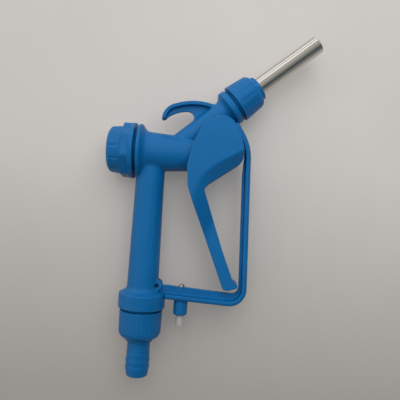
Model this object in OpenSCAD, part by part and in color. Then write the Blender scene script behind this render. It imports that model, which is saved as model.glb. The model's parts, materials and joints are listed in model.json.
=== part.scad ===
// Hand dispensing nozzle: a moulded valve body with a side lever, a bow guard and a steel spout.
// The working axes meet in one mid-plane: the inlet grip runs down -Y, the valve chamber lies
// along X and the outlet leaves the chamber at outlet_angle. Z is the width of the object.

/* [Inlet grip] */
// Radius of the grip just under the valve chamber
grip_top_r = 15.2; // [14.5:0.1:16]
// Radius of the grip just above its collar
grip_low_r = 16.6; // [16:0.1:17.4]
// Distance from the chamber axis to the top of the collar
collar_y = 152; // [148:1:156]
// Radius of the collar at the foot of the grip
collar_r = 24.7; // [24:0.1:26]
// Height of the collar
collar_h = 14; // [11:1:15]
// Radius of the inlet bore through the grip
inlet_bore_r = 10.5; // [8:0.5:11]

/* [Valve chamber] */
// Radius of the chamber where it crosses the grip axis
chamber_r = 20.9; // [20.5:0.1:21.5]
// Loss of chamber radius for each millimetre of length
chamber_taper = 0.073; // [0.05:0.001:0.08]
// Distance from the grip axis to the closed end of the chamber
chamber_end_x = 46; // [45:1:47]
// Radius of the flange behind the chamber
rear_flange_r = 28.85; // [28:0.05:29.2]
// Distance from the grip axis back to the rear face of that flange
rear_flange_x = 14.1; // [13:0.1:15]

/* [Rear cap] */
// Radius of the band around the mouth of the cap
cap_band_r = 29.55; // [29:0.05:30]
// Distance from the grip axis to the mouth of the cap
cap_mouth_x = 17.3; // [16.5:0.1:18]
// Distance from the grip axis to the closed face of the cap
cap_face_x = 45; // [44:0.5:47]
// Length of the eight-sided section beside the band
cap_flat_len = 9; // [6:1:11]

/* [Outlet] */
// Angle of the outlet above the chamber axis
outlet_angle = 40; // [38:1:42]
// Point on the chamber axis where the outlet axis starts
outlet_x = 17.85; // [17:0.05:19]
// Radius of the outlet tube where it leaves the chamber
outlet_r = 12.1; // [11.8:0.1:12.6]
// Radius of the outlet flange
outlet_flange_r = 19.3; // [19:0.1:20]
// Distance along the outlet to the front face of that flange
outlet_flange_s = 85; // [84:0.5:86]

/* [Spout] */
// Outer radius of the spout tube
spout_r = 9.5; // [9:0.5:10]
// Wall thickness of the spout tube
spout_wall = 1; // [0.8:0.1:1.5]
// Distance along the outlet to the tip of the spout
spout_tip_s = 197; // [180:1:220]

/* [Hose end] */
// Radius of the barb lands that hold the hose
barb_r = 12.7; // [12.5:0.1:13]
// Bore radius of the hose tail
tail_bore_r = 9; // [8:0.5:9.5]
// Distance from the chamber axis to the end of the hose tail
tail_end_y = 238; // [234:1:242]

/* [Lever] */
// Half of the width across the lever's cheeks
cheek_z = 27.5; // [27:0.5:28]
// Wall thickness of the lever moulding
lever_wall = 3; // [2.6:0.1:3.2]
// Half of the width of the lever's arm
arm_z = 11; // [10:0.5:12]
// Distance from the grip axis to the lever pivot
pivot_x = 75.4; // [75:0.1:76]
// Height of the lever pivot above the chamber axis
pivot_y = 24.8; // [24.4:0.1:25.2]
// Radius of the pivot pin
pivot_pin_r = 3; // [2.5:0.25:3]

/* [Guard] */
// Half of the width of the guard's outer strap
strap_z = 11; // [9:1:12]
// Thickness of the guard's outer strap
strap_t = 5.2; // [4.5:0.1:5.5]
// Half of the thickness of the guard's middle web
web_z = 2; // [1.5:0.25:2.5]
// Outer radius of the guard's lower corner
guard_corner_r = 18; // [16:1:20]

/* [Latch] */
// Distance from the grip axis to the latch pin
latch_x = 41.7; // [41:0.1:43]
// Radius of the latch boss under the guard
latch_boss_r = 7.4; // [7:0.1:8]
// Travel of the latch button
latch_travel = 6; // [4:0.5:6]

/* [Quality] */
// Segments on round parts
$fn = 96; // [48:16:128]

/* [Hidden] */

blue = [0.10, 0.42, 0.72];
steel = [0.75, 0.75, 0.74];
rubber = [0.10, 0.10, 0.11];
nylon = [0.90, 0.90, 0.88];

fit = 0.05;          // radial clearance of a running fit
clear = 0.3;         // clearance between parts that only pass each other
far = 60;            // reach of a cut that has to leave the part

// Ends of the object, which centre it over its own origin
tip_chamfer = 0.3;
x_low = -cap_face_x;
x_high = outlet_x + spout_tip_s * cos(outlet_angle) + (spout_r - tip_chamfer) * sin(outlet_angle);
y_low = -tail_end_y;
y_high = (spout_tip_s - tip_chamfer) * sin(outlet_angle) + spout_r * cos(outlet_angle);
row_shift = [-(x_low + x_high) / 2, -(y_low + y_high) / 2, cap_band_r];

// Lower end of the grip and its threaded spigot
collar_end_y = collar_y + collar_h;
collar_fillet = 8;
spigot_r = 19;
spigot_end_y = collar_end_y + 18;

// Valve chamber interior
rear_spigot_r = 21.8;
rear_spigot_x = 36;
rear_bore_r = 16;
seat_x0 = 11;
seat_x1 = 15;
seat_hole_r = 9;
front_bore_r = 12;
front_bore_x = 36;
gland_r = 7;
gland_head_r = 9.4;
gland_seat_x = 42.5;
gland_face_x = 45.8;
stem_r = 3;
stem_end_x = 58.5;
stem_cap_r = 8.5;
stem_cap_h = 3;

// Rear cap
cap_face_r = 21;
cap_cone_r = 24.1;
cap_cone_x = 42.4;
cap_root_r = 26.5;
cap_band_len = 4.6;
cap_floor_x = 38;
cap_flats = 8;
cap_flat_start = 15;
cap_corner_r = 29.7;
cap_flutes = 12;
cap_flute_start = -4;
cap_flute_r = 2;
cap_flute_depth = 0.5;
cap_flute_len = 12;
poppet_x0 = 5;
poppet_x1 = 10;

// Union nuts, hose tail and spout collar
nut_flutes = 20;
nut_flute_r = 2.2;
hose_nut_y = 168.3;
hose_nut_mouth_r = 22.65;
hose_nut_skirt_r = 22.3;
hose_nut_neck_r = 14.2;
tail_neck_r = 12;
barbs = [[212.6, 0.35], [219.8, 0], [227, 0]];   // station and loss of radius of each barb
barb_land = 1.5;
barb_len = 6.6;
spout_nut_s = 88.3;
spout_nut_mouth_r = 20.5;
spout_nut_skirt_r = 18.8;
spout_nut_len = 30.3;
spout_shoulder = 26.5;
spout_neck_r = 13.3;
spout_collar_s = 104;

// Outlet
hook_t = 4;
hook_z = 7.5;
outlet_fillet = 6;
outlet_spigot_r = 16.2;
outlet_spigot_s = 103;
outlet_bore_r = 8.5;
spout_socket_s = 92;
spout_fit_r = spout_r - 0.25;

// Lever, push sleeve and pivot
sleeve_r = 5;
sleeve_pin_r = 2.5;
sleeve_x = stem_end_x + clear + sleeve_r;
pin_skin = 1;
bevel_x = 72.1;
bevel_y = -8.4;
bevel_turn = -59;

// Guard outline: a straight side, a corner and a slightly rising foot
side_tilt = 2.1;
foot_tilt = -92.5;
corner_x = 92.1;
corner_y = -138.9;
brow_x = 53.1;
brow_y = -2.9;
brow_r = 52;
brow_end = 33.1;
brow_tail = 13.4;
foot_len = 66.6;
lug_x = 15.4;
lug_y = -140.7;
lug_r = 5.4;
lug_z = 4;
slot_x = 11.8;
foot_tongue_r = 3.4;
ear_z = 8;
guard_pin_r = 2;
top_lug_s = 75.4;
top_lug_drop = 20.5;
top_lug_r = 2.8;
top_screw_r = 1.5;
top_screw_head_r = 2.6;
top_fork_z = 10.5;
web_side = 8.2;
web_foot = 12;
web_corner_r = 7;
web_len = 118;
web_rise = 1;
web_top = [98.9, 8.5];

// Latch
latch_pin_r = 1.3;
latch_head_r = 3.25;
latch_head_h = 3.1;
latch_seat_y = -141.4;
latch_neck_r = 2.4;
latch_step_y = -153;
latch_boss_end_y = -170.9;
latch_button_r = 4.3;
latch_spring_solid = 5.6;
latch_button_y = latch_step_y - latch_travel - latch_spring_solid;
latch_button_end_y = -182.7;

function arc_points(centre, r, from, to, steps) =
    [for (i = [0:steps])
        let (a = from + (to - from) * i / steps)
        centre + r * [cos(a), sin(a)]];
function reversed(list) = [for (i = [len(list) - 1:-1:0]) list[i]];
function heading(a) = [cos(a), sin(a)];

module along_x() { rotate([0, 90, 0]) children(); }
module along_y() { rotate([-90, 0, 0]) children(); }
module on_outlet() { translate([outlet_x, 0, 0]) rotate([0, 0, outlet_angle]) children(); }
module placed() { translate(row_shift) children(); }

// A disc between two stations of the current axis
module disc(r, from, to) {
    translate([0, 0, from]) cylinder(r = r, h = to - from);
}

// A ring between two stations of the current axis
module ring(r_out, r_in, from, to) {
    difference() {
        disc(r_out, from, to);
        disc(r_in, from - 1, to + 1);
    }
}

// Ridges of a thread, seen as rings
module thread_ridges(r, depth, from, to, pitch) {
    for (s = [from + pitch : pitch : to - pitch / 2])
        translate([0, 0, s])
            rotate_extrude()
                polygon([[r - depth - 0.2, -pitch * 0.4], [r, -pitch * 0.12],
                         [r, pitch * 0.12], [r - depth - 0.2, pitch * 0.4]]);
}

// Coil spring along the current axis
module coil(r, wire_r, from, to, turns) {
    per_turn = 16;
    sides = 6;
    rings = per_turn * turns;
    rise = to - from - 2 * wire_r;
    points = [for (i = [0:rings], j = [0:sides - 1])
        let (a = 360 * i / per_turn, b = 360 * j / sides, q = r + wire_r * cos(b))
        [q * cos(a), q * sin(a), from + wire_r + rise * i / rings + wire_r * sin(b)]];
    skins = [for (i = [0:rings - 1], j = [0:sides - 1])
        let (k = (j + 1) % sides)
        [i * sides + j, i * sides + k, (i + 1) * sides + k, (i + 1) * sides + j]];
    first = [for (j = [sides - 1:-1:0]) j];
    last = [for (j = [0:sides - 1]) rings * sides + j];
    polyhedron(points, concat([first], skins, [last]));
}

// ---------------------------------------------------------------- valve body
module grip_outside() {
    fillet = [collar_r, -collar_y + collar_fillet];
    along_y() rotate_extrude()
        polygon(concat(
            [[0, 0], [grip_top_r - 0.2, 0], [grip_top_r, -40], [grip_low_r, -(collar_y - 12)]],
            reversed(arc_points(fillet, collar_fillet, 270, 180, 10)),
            [[collar_r, -collar_end_y + 0.8], [collar_r - 0.8, -collar_end_y], [0, -collar_end_y]]));
}

module chamber_outside() {
    neck_r = chamber_r + 5 * chamber_taper;
    fillet_r = rear_flange_x - 2.1 - 5;
    end_r = chamber_r - chamber_taper * (chamber_end_x - 4);
    along_x() rotate_extrude()
        polygon(concat(
            [[0, -rear_flange_x], [rear_flange_r - 0.6, -rear_flange_x],
             [rear_flange_r, -rear_flange_x + 0.6]],
            arc_points([neck_r + fillet_r, -5], fillet_r, 270, 180, 8),
            arc_points([end_r - 4, chamber_end_x - 4], 4, 0, 90, 5),
            [[0, chamber_end_x]]));
}

module outlet_outside() {
    root_s = outlet_flange_s - 6.5;
    throat_r = outlet_flange_r - outlet_fillet;
    along_x() rotate_extrude()
        polygon(concat(
            [[0, 4], [outlet_r - 0.2, 4], [outlet_r + 0.8, 62]],
            reversed(arc_points([outlet_flange_r, root_s - outlet_fillet], outlet_fillet, 90, 180, 8)),
            [[outlet_flange_r, outlet_flange_s - 0.7], [outlet_flange_r - 0.7, outlet_flange_s],
             [0, outlet_flange_s]]));
}

// Finger hook over the outlet: a curved strap with a middle web that runs down to the tube
module hook() {
    tip_arc = arc_points([26.4, 35.1], 17.8, 178, 107, 8);
    crest_arc = arc_points([44.5, -8.5], 64.8, 109, 73.5, 10);
    tip_under = arc_points([26.4, 35.1], 17.8 - hook_t, 107, 176, 8);
    crest_under = arc_points([44.5, -8.5], 64.8 - hook_t, 73.5, 109, 10);
    palm_arc = arc_points([36.1, 10.4], 34.85, 95.5, 136, 8);
    throat_arc = arc_points([35.2, 37.8], 7.5, -15, 95, 7);
    linear_extrude(2 * hook_z, center = true)
        polygon(concat(tip_arc, crest_arc, crest_under, tip_under));
    linear_extrude(2 * web_z, center = true)
        polygon(concat(tip_arc, crest_arc, [[52, 34]], throat_arc, palm_arc, [[10.4, 34]]));
}

module pivot_boss() {
    translate([pivot_x, pivot_y, 0]) {
        cylinder(r = 6.5, h = 44, center = true);
        rotate([0, 0, outlet_angle]) translate([-5.5, 0, -7]) cube([11, 11, 14]);
    }
}

// Two ears beside the grip hold the lower end of the guard between them
module guard_ears() {
    translate([lug_x, lug_y, 0]) cylinder(r = lug_r, h = 2 * ear_z, center = true);
    translate([lug_x - 12, lug_y - lug_r, -ear_z]) cube([12, 2 * lug_r, 2 * ear_z]);
}

module ear_slot() {
    translate([slot_x, lug_y - lug_r - 1, -lug_z - 0.2])
        cube([far, 2 * lug_r + 2, 2 * lug_z + 0.4]);
}

// Threaded spigots stand out of the collar, the rear flange and the outlet flange
module spigots() {
    along_y() disc(spigot_r - 1, -spigot_end_y, -collar_end_y);
    along_y() thread_ridges(spigot_r, 1, -spigot_end_y, -collar_end_y, 3);
    along_x() disc(rear_spigot_r - 1, -rear_spigot_x, -rear_flange_x);
    along_x() thread_ridges(rear_spigot_r, 1, -rear_spigot_x, -rear_flange_x, 3);
    on_outlet() along_x() disc(outlet_spigot_r - 1, outlet_flange_s, outlet_spigot_s);
    on_outlet() along_x() thread_ridges(outlet_spigot_r, 1, outlet_flange_s, outlet_spigot_s, 3);
}

module flow_passages() {
    along_y() disc(inlet_bore_r, -spigot_end_y - 1, 0);
    along_x() disc(rear_bore_r, -rear_spigot_x - 1, seat_x1);
    along_x() disc(front_bore_r, seat_x1 - 1, front_bore_x);
    along_x() disc(gland_r, front_bore_x - 1, chamber_end_x);
    along_x() disc(gland_head_r + 0.4, gland_seat_x, chamber_end_x + 1);
    on_outlet() along_x() disc(outlet_bore_r, 9, spout_socket_s);
    on_outlet() along_x() disc(spout_fit_r + 0.1, spout_socket_s, outlet_spigot_s + 1);
}

module valve_body() {
    color(blue) placed()
    difference() {
        union() {
            grip_outside();
            chamber_outside();
            on_outlet() outlet_outside();
            hook();
            pivot_boss();
            guard_ears();
            top_lug();
            spigots();
        }
        flow_passages();
        ear_slot();
        along_x() disc(stem_cap_r + 0.6, chamber_end_x, stem_end_x + 1);
        translate([pivot_x, pivot_y, 0]) cylinder(r = pivot_pin_r + fit, h = far, center = true);
        translate([lug_x, lug_y, 0]) cylinder(r = guard_pin_r, h = far, center = true);
        on_outlet() screw_hole();
    }
}

// Lug under the outlet flange that carries the top of the guard
module top_lug() {
    on_outlet() {
        translate([top_lug_s - top_screw_r, -top_lug_drop, -lug_z])
            cube([3 * top_screw_r, 9, 2 * lug_z]);
        translate([top_lug_s, -top_lug_drop, 0])
            cylinder(r = top_lug_r, h = 2 * lug_z, center = true);
    }
}

// The screw goes in from the back and stops short of the front
module screw_hole() {
    translate([top_lug_s, -top_lug_drop, -far]) {
        cylinder(r = top_screw_r, h = far + top_fork_z - 2);
        cylinder(r = top_screw_head_r + 0.2, h = far - top_fork_z);
    }
}

// ---------------------------------------------------------------- rear cap
module cap_outside() {
    band_x = -cap_mouth_x - cap_band_len;
    along_x() rotate_extrude()
        polygon([[0, -cap_face_x], [cap_face_r, -cap_face_x], [cap_cone_r, -cap_cone_x],
                 [cap_root_r, band_x - 1], [cap_band_r - 0.8, band_x], [cap_band_r, band_x + 0.8],
                 [cap_band_r, -cap_mouth_x - 0.6], [cap_band_r - 0.6, -cap_mouth_x], [0, -cap_mouth_x]]);
}

// Eight flats beside the band give a hand or a wrench something to turn
module cap_wrench_section() {
    flat_x0 = -cap_mouth_x - cap_band_len - cap_flat_len;
    along_x() intersection() {
        rotate([0, 0, cap_flat_start])
            translate([0, 0, flat_x0]) cylinder(r = cap_corner_r, h = cap_flat_len + 1, $fn = cap_flats);
        disc(cap_band_r - 0.4, flat_x0 - 1, 0);
    }
}

// Shallow flutes that follow the cone between the flats and the face
module cap_grip_flutes() {
    cone_tilt = atan((cap_root_r - cap_cone_r) / (cap_cone_x - cap_mouth_x - cap_band_len - 1));
    for (i = [0:cap_flutes - 1])
        rotate([cap_flute_start + 360 * i / cap_flutes, 0, 0])
            translate([-cap_cone_x, 0, cap_cone_r + cap_flute_r - cap_flute_depth])
                rotate([0, -cone_tilt, 0]) translate([cap_cone_x - cap_face_x - 2, 0, 0])
                    along_x() cylinder(r = cap_flute_r, h = cap_flute_len + 2);
}

module rear_cap() {
    color(blue) placed()
    difference() {
        union() {
            cap_outside();
            cap_wrench_section();
        }
        along_x() disc(rear_spigot_r + 0.1, -cap_floor_x, -cap_mouth_x + 1);
        cap_grip_flutes();
    }
}

module rear_cap_seal() {
    color(rubber) placed() along_x() ring(rear_spigot_r - 0.3, 17.5, -cap_floor_x, -rear_spigot_x);
}

module spring_cup() {
    color(nylon) placed() along_x() difference() {
        union() {
            disc(14, -cap_floor_x, -cap_floor_x + 2);
            disc(8, -cap_floor_x, -cap_floor_x + 8);
        }
        disc(4, -cap_floor_x - 1, far);
    }
}

module closing_spring() {
    color(steel) placed() along_x() coil(10.5, 1, -cap_floor_x + 2, poppet_x0, 7);
}

// ---------------------------------------------------------------- valve and stem
module valve_poppet() {
    color(nylon) placed() along_x() difference() {
        union() {
            disc(12.8, poppet_x0, poppet_x1);
            disc(8, poppet_x0 - 5, poppet_x1);
        }
        disc(stem_r, -far, far);
        ring(13, 9.4, poppet_x1 - 1.2, poppet_x1 + 1);
    }
}

module poppet_seal() {
    color(rubber) placed() along_x() ring(12.4, 9.4, poppet_x1 - 1.2, seat_x0);
}

module poppet_nut() {
    color(steel) placed() along_x() difference() {
        translate([0, 0, poppet_x1]) cylinder(r = 7, h = 5, $fn = 6);
        disc(stem_r, -far, far);
    }
}

module valve_stem() {
    color(steel) placed() along_x() union() {
        disc(stem_r, poppet_x0 - 6, stem_end_x - 1.2);
        disc(4.6, poppet_x0 - 6.5, poppet_x0 - 5);
    }
}

module stem_cap() {
    color(nylon) placed() along_x() difference() {
        disc(stem_cap_r, stem_end_x - stem_cap_h, stem_end_x);
        disc(stem_r, -far, stem_end_x - 1.2);
    }
}

module stem_gland() {
    color(nylon) placed() along_x() difference() {
        union() {
            disc(gland_r - fit, front_bore_x + 0.5, gland_seat_x);
            disc(gland_head_r, gland_seat_x, gland_face_x);
        }
        disc(stem_r + fit, -far, far);
        disc(stem_r + 1.8, front_bore_x, gland_seat_x - 1.5);
        for (a = [0, 180])
            rotate([0, 0, a]) translate([6.6, 0, gland_face_x - 2]) cylinder(r = 1, h = 4);
    }
}

module stem_seals() {
    color(rubber) placed() along_x()
        for (x = [front_bore_x + 0.7, front_bore_x + 2.9])
            ring(stem_r + 1.7, stem_r + fit, x, x + 1.8);
}

module seat_ring() {
    color(steel) placed() along_x() ring(rear_bore_r, seat_hole_r, seat_x0, seat_x1);
}

// ---------------------------------------------------------------- lever
function lever_outline() = concat(
    [[84.9, -139.7], [46.4, -48], [41.2, -34]],
    arc_points([55.6, -14.2], 16.5, 200, 168, 5),
    [[43.6, 10.2], [54.2, 31]],
    arc_points([72.3, 24.6], 14.8, 128, 40, 8),
    [[92.2, 17.4]],
    arc_points([84.6, 0.2], 11.8, 28, -60, 8),
    [[61.6, -31.2]],
    arc_points([63.2, -36.6], 4.6, 105, 200, 5),
    [[81.4, -98.1], [95, -130.6], [100.4, -134.2], [100.2, -137.2]],
    [[90, -140.6]]);

// Everything between the cheeks, open towards the valve chamber
function lever_hollow() = [[20, 70], [94, 70], [94, 32], [82.2, 30.6], [90, 14], [92.6, 3], [90.6, -5.5],
    [85, -11.7], [58.2, -31.4], [56.1, -41], [78.6, -99.3], [90.3, -127.4], [62.7, -139], [20, -40]];

// A bar whose width falls from the cheeks to the arm along the bevel
module bevelled_width(cheek, arm, start) {
    fall = cheek - arm;
    translate([bevel_x, bevel_y, 0]) rotate([0, 0, bevel_turn]) rotate([90, 0, 0])
        linear_extrude(400, center = true)
            polygon([[-150, -cheek], [start, -cheek], [start + fall, -arm], [200, -arm],
                     [200, arm], [start + fall, arm], [start, cheek], [-150, cheek]]);
}

module lever() {
    inner_z = cheek_z - lever_wall;
    inner_start = lever_wall * (1 - sqrt(2));
    color(blue) placed()
    difference() {
        union() {
            difference() {
                intersection() {
                    linear_extrude(2 * cheek_z, center = true) polygon(lever_outline());
                    bevelled_width(cheek_z, arm_z, 0);
                }
                intersection() {
                    linear_extrude(4 * cheek_z, center = true) polygon(lever_hollow());
                    bevelled_width(inner_z, arm_z - lever_wall, inner_start);
                }
            }
            for (side = [-1, 1])
                translate([sleeve_x, 0, side * (inner_z - 1)])
                    cylinder(r = 4.5, h = 4, center = true);
        }
        translate([pivot_x, pivot_y, 0])
            cylinder(r = pivot_pin_r + fit, h = 2 * (cheek_z - pin_skin), center = true);
        translate([sleeve_x, 0, 0])
            cylinder(r = sleeve_pin_r, h = 2 * (cheek_z - pin_skin), center = true);
    }
}

module lever_pin() {
    color(steel) placed() translate([pivot_x, pivot_y, 0])
        cylinder(r = pivot_pin_r, h = 2 * (cheek_z - pin_skin) - 0.4, center = true);
}

module lever_washers() {
    color(nylon) placed() translate([pivot_x, pivot_y, 0])
        for (side = [-1, 1])
            translate([0, 0, side * 23.2]) difference() {
                cylinder(r = 6, h = 2, center = true);
                cylinder(r = pivot_pin_r + fit, h = 4, center = true);
            }
}

module push_sleeve() {
    color(nylon) placed() translate([sleeve_x, 0, 0]) difference() {
        cylinder(r = sleeve_r, h = 16, center = true);
        cylinder(r = sleeve_pin_r + fit, h = 20, center = true);
    }
}

module sleeve_pin() {
    color(steel) placed() translate([sleeve_x, 0, 0])
        cylinder(r = sleeve_pin_r, h = 2 * (cheek_z - pin_skin), center = true);
}

// ---------------------------------------------------------------- guard
// Line of the guard at a depth inside its outer edge
function guard_line(d) = concat(
    [[brow_x, brow_y] + (brow_r - d) * heading(brow_end) + brow_tail * heading(brow_end + 90)],
    arc_points([brow_x, brow_y], brow_r - d, brow_end, side_tilt, 7),
    arc_points([corner_x, corner_y], guard_corner_r - d, side_tilt, foot_tilt, 10),
    [[corner_x, corner_y] + (guard_corner_r - d) * heading(foot_tilt)
        + foot_len * heading(foot_tilt - 90)]);

// Inner edge of the web, deeper along the foot than along the side
function web_line() =
    let (side = heading(side_tilt), foot = heading(foot_tilt),
         c = [corner_x, corner_y] + (guard_corner_r - web_side - web_corner_r) * side
             + (guard_corner_r - web_foot - web_corner_r) * foot)
    concat([web_top, c + web_corner_r * side + web_len * heading(side_tilt + 90)],
           arc_points(c, web_corner_r, side_tilt, foot_tilt, 6),
           [c + web_corner_r * foot + (foot_len + 3) * heading(foot_tilt - 90 - web_rise)]);

module guard_strap() {
    linear_extrude(2 * strap_z, center = true)
        polygon(concat(guard_line(0), reversed(guard_line(strap_t))));
}

module guard_web() {
    linear_extrude(2 * web_z, center = true)
        polygon(concat([[corner_x, corner_y] + (guard_corner_r - 2) * heading(side_tilt)
                         + (web_len + 24) * heading(side_tilt + 90)],
                       arc_points([corner_x, corner_y], guard_corner_r - 2, side_tilt, foot_tilt, 6),
                       [[corner_x, corner_y] + (guard_corner_r - 2) * heading(foot_tilt)
                         + foot_len * heading(foot_tilt - 90)],
                       reversed(web_line())));
}

// The foot ends in a tongue between the ears beside the grip, and its web fills the corner
module foot_tongue() {
    web_x = collar_r + 5.3;
    shoulder_y = -collar_y + 0.6;
    translate([lug_x, lug_y, 0]) cylinder(r = foot_tongue_r, h = 2 * lug_z, center = true);
    linear_extrude(2 * web_z, center = true)
        polygon([[lug_x, lug_y + 1], [lug_x + 3, lug_y + 0.4], [web_x, lug_y - 0.2],
                 [web_x, shoulder_y - 1.6],
                 [collar_r + 0.5, shoulder_y - 1.6], [collar_r - 0.1, shoulder_y],
                 [lug_x + 2.9, lug_y - foot_tongue_r - 4], [lug_x, lug_y - foot_tongue_r]]);
}

// The top ends in a fork around the lug under the outlet flange
module top_fork() {
    on_outlet() translate([top_lug_s, -top_lug_drop, 0])
        cylinder(r = top_lug_r, h = 2 * top_fork_z, center = true);
}

// Room in the fork for the lug and for the edge of the flange
module top_fork_slot() {
    slot_len = 12;
    on_outlet() {
        translate([top_lug_s - slot_len / 2, -top_lug_drop - top_lug_r - 0.5, -lug_z - 0.1])
            cube([slot_len, slot_len, 2 * lug_z + 0.2]);
        along_x() disc(outlet_flange_r + 0.2, outlet_flange_s - 2 * outlet_fillet, outlet_flange_s + 3);
    }
}

module latch_boss() {
    translate([latch_x, 0, 0]) along_y() {
        disc(latch_boss_r, latch_boss_end_y, latch_step_y + 1);
        disc(latch_neck_r, latch_step_y, latch_seat_y);
    }
}

module guard() {
    color(blue) placed()
    difference() {
        union() {
            guard_strap();
            guard_web();
            foot_tongue();
            top_fork();
            latch_boss();
        }
        translate([latch_x, 0, 0]) along_y() {
            disc(latch_pin_r + 0.08, latch_step_y - 1, latch_seat_y + 1);
            disc(latch_button_r + 0.1, latch_boss_end_y - 1, latch_step_y);
        }
        translate([lug_x, lug_y, 0]) cylinder(r = guard_pin_r, h = far, center = true);
        on_outlet() screw_hole();
        top_fork_slot();
    }
}

module guard_pin() {
    color(steel) placed() translate([lug_x, lug_y, 0])
        cylinder(r = guard_pin_r, h = 2 * ear_z - 5, center = true);
}

module guard_screw() {
    color(steel) placed() on_outlet() translate([top_lug_s, -top_lug_drop, 0]) union() {
        translate([0, 0, -top_fork_z]) cylinder(r = top_screw_r, h = 2 * top_fork_z - 2.2);
        translate([0, 0, -top_fork_z - 1.2]) cylinder(r = top_screw_head_r, h = 1.2);
    }
}

// ---------------------------------------------------------------- latch
module latch_pin() {
    color(steel) placed() translate([latch_x, 0, 0]) along_y() {
        disc(latch_pin_r, latch_button_y - 8, latch_seat_y + 0.1);
        translate([0, 0, latch_seat_y]) rotate_extrude()
            polygon(concat([[0, 0]], [for (a = [0:15:90])
                [latch_head_r * cos(a), 0.4 + (latch_head_h - 0.4) * sin(a)]]));
    }
}

module latch_spring() {
    color(steel) placed() translate([latch_x, 0, 0]) along_y()
        coil(3.3, 0.4, latch_button_y, latch_step_y, 6);
}

module latch_button() {
    color(nylon) placed() translate([latch_x, 0, 0]) along_y() difference() {
        rotate_extrude() polygon([[0, latch_button_end_y], [latch_button_r - 0.8, latch_button_end_y],
            [latch_button_r, latch_button_end_y + 0.8], [latch_button_r, latch_button_y],
            [0, latch_button_y]]);
        disc(latch_pin_r, latch_button_y - 8, far);
    }
}

// ---------------------------------------------------------------- union nuts
// Nut outline from mouth to neck, with shallow flutes around its skirt
module nut_shell(mouth_r, skirt_r, skirt, shoulder, neck_r, neck) {
    flute_depth = 0.9;
    difference() {
        rotate_extrude() polygon(concat(
            [[0, 0], [mouth_r - 0.6, 0], [mouth_r, 0.6], [skirt_r, skirt]],
            [for (a = [15:15:75])
                [neck_r + (skirt_r - neck_r) * cos(a), skirt + (shoulder - skirt) * sin(a)]],
            [[neck_r, shoulder], [neck_r, neck - 0.6], [neck_r - 0.6, neck], [0, neck]]));
        for (i = [0:nut_flutes - 1])
            rotate([0, 0, 360 * (i + 0.5) / nut_flutes])
                translate([mouth_r + nut_flute_r - flute_depth, 0, 0])
                    rotate([0, -atan((mouth_r - skirt_r) / skirt), 0])
                        translate([0, 0, 4]) cylinder(r = nut_flute_r, h = skirt + 4);
    }
}

module hose_nut() {
    color(blue) placed() translate([0, -hose_nut_y, 0]) rotate([90, 0, 0])
        difference() {
            nut_shell(hose_nut_mouth_r, hose_nut_skirt_r, 21.5, 29.5, hose_nut_neck_r, 33);
            disc(spigot_r + 0.2, -1, spigot_end_y + 5.5 - hose_nut_y);
            disc(tail_neck_r + 0.2, -1, far);
        }
}

module hose_tail() {
    color(blue) placed() difference() {
        rotate([90, 0, 0]) rotate_extrude() polygon(concat(
            [[0, spigot_end_y + 2], [18.6, spigot_end_y + 2], [18.6, spigot_end_y + 5.5],
             [tail_neck_r, spigot_end_y + 5.5]],
            [for (b = barbs)
                each [[tail_neck_r, b[0]], [barb_r - b[1], b[0] + 0.3],
                      [barb_r - b[1], b[0] + 0.3 + barb_land], [tail_neck_r, b[0] + barb_len]]],
            [[tail_neck_r - 0.5, tail_end_y - 1], [tail_neck_r - 1.5, tail_end_y], [0, tail_end_y]]));
        along_y() disc(tail_bore_r, -tail_end_y - 1, 0);
    }
}

module hose_tail_seal() {
    color(rubber) placed() along_y() ring(18, 11, -spigot_end_y - 2, -spigot_end_y);
}

module spout_nut() {
    color(blue) placed() on_outlet() translate([spout_nut_s, 0, 0]) along_x()
        difference() {
            nut_shell(spout_nut_mouth_r, spout_nut_skirt_r, 20, spout_shoulder, spout_neck_r, spout_nut_len);
            disc(outlet_spigot_r + 0.2, -1, spout_collar_s + 3 - spout_nut_s);
            disc(spout_r + 0.15, -1, far);
        }
}

module spout_tube() {
    color(steel) placed() on_outlet() along_x() difference() {
        rotate_extrude() polygon([[0, spout_socket_s], [spout_fit_r, spout_socket_s],
            [spout_fit_r, spout_nut_s + spout_nut_len], [spout_r, spout_nut_s + spout_nut_len],
            [spout_r, spout_tip_s - tip_chamfer], [spout_r - tip_chamfer, spout_tip_s], [0, spout_tip_s]]);
        disc(spout_r - spout_wall, 0, spout_tip_s + 1);
    }
}

module spout_collar() {
    color(steel) placed() on_outlet() along_x()
        ring(outlet_spigot_r - 0.3, spout_fit_r, spout_collar_s, spout_collar_s + 3);
}

module spout_seal() {
    color(rubber) placed() on_outlet() along_x()
        ring(outlet_spigot_r - 0.6, spout_fit_r, outlet_spigot_s, spout_collar_s);
}

valve_body();
rear_cap();
rear_cap_seal();
spring_cup();
closing_spring();
valve_poppet();
poppet_seal();
poppet_nut();
valve_stem();
stem_cap();
stem_gland();
stem_seals();
seat_ring();
lever();
lever_pin();
lever_washers();
push_sleeve();
sleeve_pin();
guard();
guard_pin();
guard_screw();
latch_pin();
latch_spring();
latch_button();
hose_nut();
hose_tail();
hose_tail_seal();
spout_nut();
spout_tube();
spout_collar();
spout_seal();
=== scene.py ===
"""Looks of a hand dispensing nozzle that lies on its side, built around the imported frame.

Shapes are worked out in millimetres, in the nozzle's own axes: the origin is where the grip's axis
crosses the valve chamber's, X runs along the chamber, Y up the grip and Z across the width.
"""

import json
import math

import bmesh
import bpy
import numpy as np
import openvdb as vdb
from mathutils import Matrix, Vector


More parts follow.
